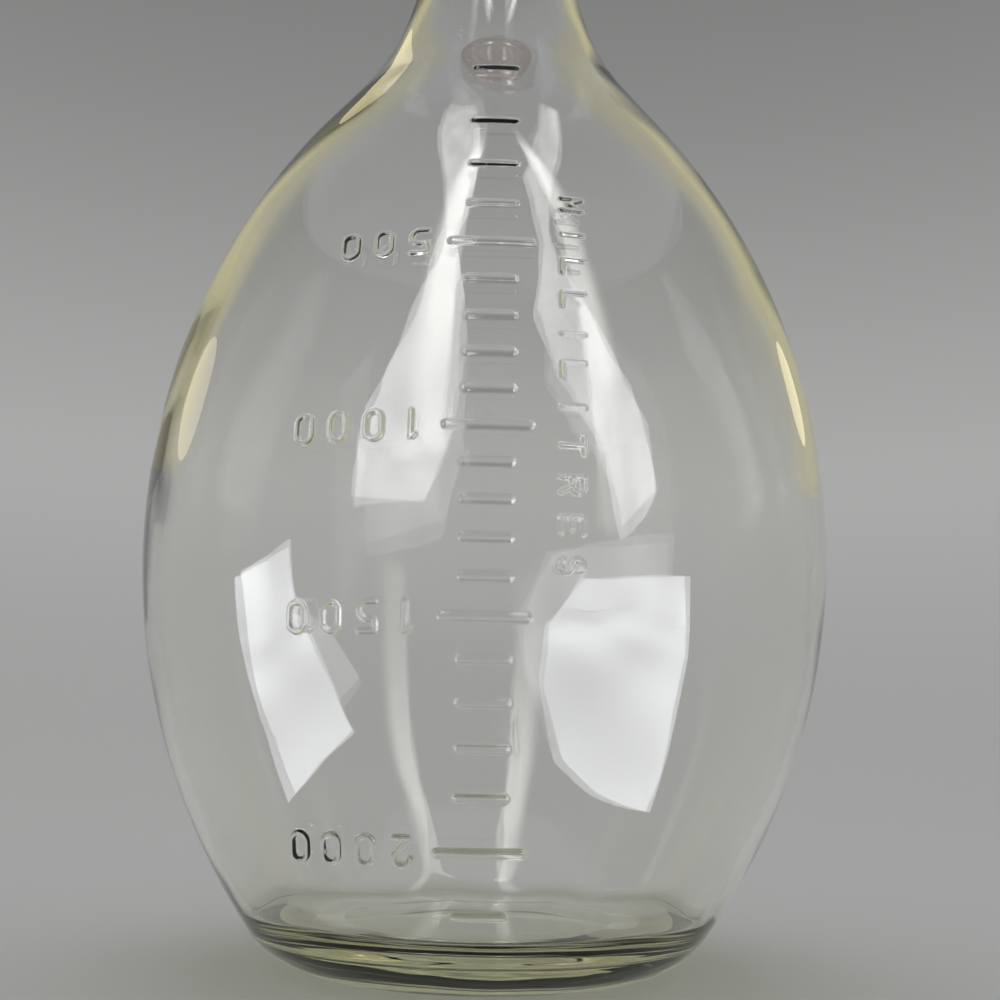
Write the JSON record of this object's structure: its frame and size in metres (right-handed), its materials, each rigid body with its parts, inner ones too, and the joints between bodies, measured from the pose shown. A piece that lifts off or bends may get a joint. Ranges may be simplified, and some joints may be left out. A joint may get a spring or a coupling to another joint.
{
  "type": "graduated bottle",
  "caption": "Egg-shaped clear glass bottle with a raised volume scale read mouth down, a narrow neck, and a rubber stopper holding an outlet tube and an air tube.",
  "frame": {"origin": "centre of the base, in the plane of the flat ring that the bottle stands on", "axes": "+Z is the bottle's axis, up from the base to the mouth; the raised scale faces -Y; the outlet tube is on the -X side of the stopper"},
  "size_m": [0.147, 0.1477, 0.3234],
  "materials": {
    "bottle_glass": "clear moulded glass with a faint yellow-green tint, smooth and fire-polished",
    "stopper_rubber": "matt red-brown moulded rubber",
    "tube_glass": "clear drawn glass tube with fire-polished ends"
  },
  "bodies": {
    "bottle": {"bottle": "bottle_glass"},
    "stopper": {"stopper": "stopper_rubber"},
    "outlet_tube": {"outlet_tube": "tube_glass"},
    "air_tube": {"air_tube": "tube_glass"}
  },
  "joints": [
    {"name": "stopper_lift", "type": "slide", "parent": "bottle", "child": "stopper", "axis": [0, 0, 1], "range_m": [0, 0.06]},
    {"name": "outlet_tube_slide", "type": "slide", "parent": "stopper", "child": "outlet_tube", "axis": [0, 0, 1], "range_m": [0, 0.02]},
    {"name": "air_tube_slide", "type": "slide", "parent": "stopper", "child": "air_tube", "axis": [0, 0, 1], "range_m": [0, 0.02]}
  ]
}
